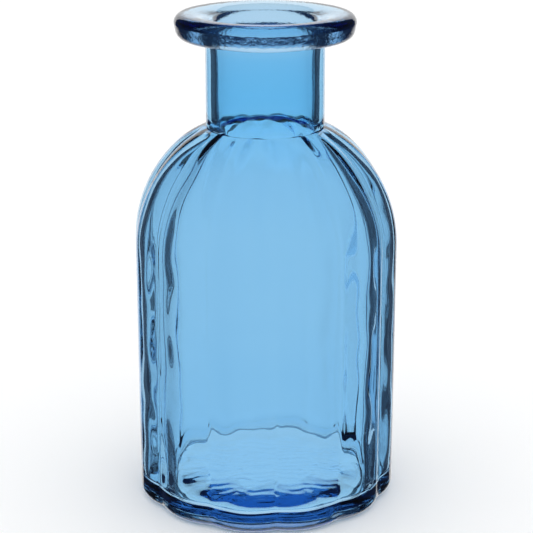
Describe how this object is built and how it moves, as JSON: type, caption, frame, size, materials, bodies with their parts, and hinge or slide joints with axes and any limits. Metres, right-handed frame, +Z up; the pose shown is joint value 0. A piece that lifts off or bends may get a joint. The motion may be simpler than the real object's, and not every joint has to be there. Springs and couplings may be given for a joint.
{
  "type": "bud vase",
  "caption": "Small fluted bottle-shaped bud vase of clear blue glass, with a straight neck and a wide rounded lip.",
  "frame": {"origin": "middle of the base, on the surface that the vase stands on", "axes": "+Z up along the vase's axis, from the base to the mouth; +X and +Y each pass through a valley between two flutes"},
  "size_m": [0.074, 0.074, 0.14],
  "materials": {
    "blue_glass": "clear, fire-polished, tinted through its whole thickness"
  },
  "bodies": {
    "root": {"glass_vase": "blue_glass"}
  },
  "joints": []
}
